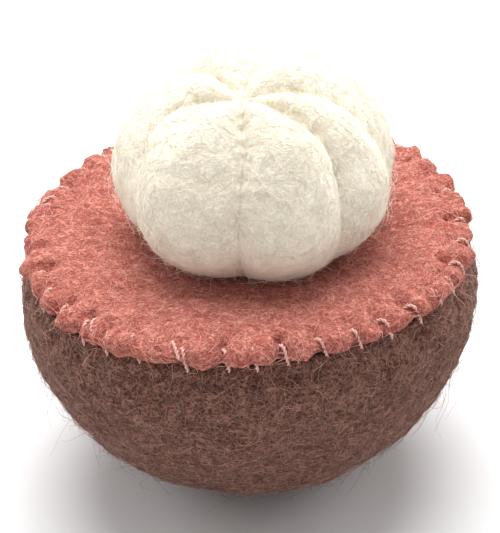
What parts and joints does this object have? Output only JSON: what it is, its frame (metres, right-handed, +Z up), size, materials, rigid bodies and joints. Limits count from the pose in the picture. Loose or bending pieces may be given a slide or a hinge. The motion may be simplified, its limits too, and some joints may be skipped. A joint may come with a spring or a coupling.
{
  "type": "felt half mangosteen",
  "caption": "Half mangosteen made of wool felt: a brown felted rind, a coral disc overcast round its mouth and a creased cream ball on top.",
  "frame": {"origin": "on the table, under the middle of the whole piece seen from above", "axes": "+Z up through the cream ball, -Z out of the resting spot, -Y towards the side the meeting point of the creases leans to"},
  "size_m": [0.0716, 0.0734, 0.0721],
  "materials": {
    "brown_felt": "felted wool, matt, fuzzy",
    "coral_felt": "felted wool, matt, fuzzy",
    "coral_thread": "sewing thread, slight sheen",
    "cream_felt": "felted wool, matt, fine fuzz",
    "cream_thread": "sewing thread, slight sheen"
  },
  "bodies": {
    "root": {"rind_body": "brown_felt", "pith_disc": "coral_felt", "rim_thread": "coral_thread", "flesh": "cream_felt", "tie_thread": "cream_thread"}
  },
  "joints": []
}
